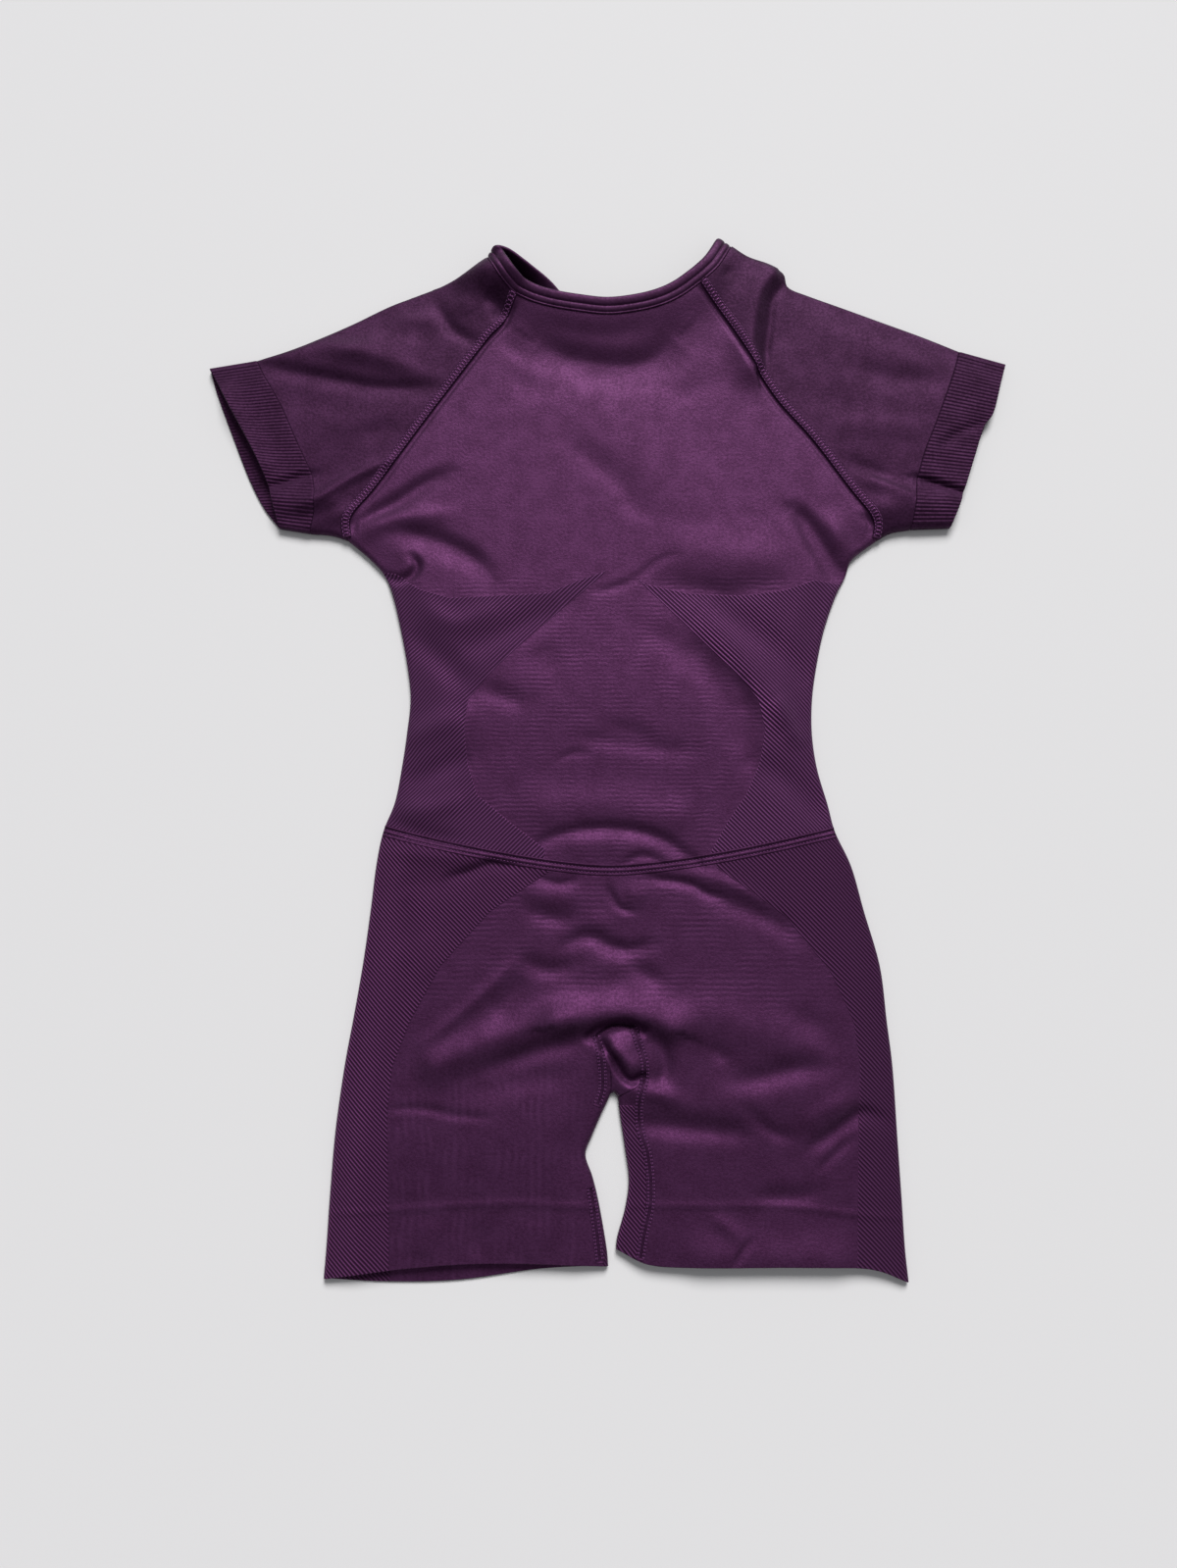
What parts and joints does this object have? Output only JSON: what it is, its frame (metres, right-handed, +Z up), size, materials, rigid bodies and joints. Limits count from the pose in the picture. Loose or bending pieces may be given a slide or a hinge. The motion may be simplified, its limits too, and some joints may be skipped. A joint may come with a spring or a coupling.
{
  "type": "yoga bodysuit laid flat",
  "caption": "Short-sleeved raglan yoga bodysuit with shorts in seamless knit, laid flat with its back up, ribbed cuffs, bound neck and crotch gusset.",
  "frame": {"origin": "on the surface it lies on, under the middle of the garment's bounding box", "axes": "+X from the left sleeve to the right one as seen from above, +Y from the hems to the neck, +Z up out of the back"},
  "size_m": [0.47, 0.5979, 0.0151],
  "materials": {
    "knit": "aubergine seamless nylon and elastane knit, plain, waffle and diagonal twill zones, soft low sheen",
    "rib": "aubergine ribbed welt, matte",
    "binding": "aubergine folded jersey band with two rows of stitching, soft low sheen"
  },
  "bodies": {
    "root": {"bodice": "knit", "shorts": "knit", "sleeve_left": "knit", "sleeve_right": "knit", "cuff_left": "rib", "cuff_right": "rib", "neck_binding": "binding", "crotch_gusset": "knit"}
  },
  "joints": []
}
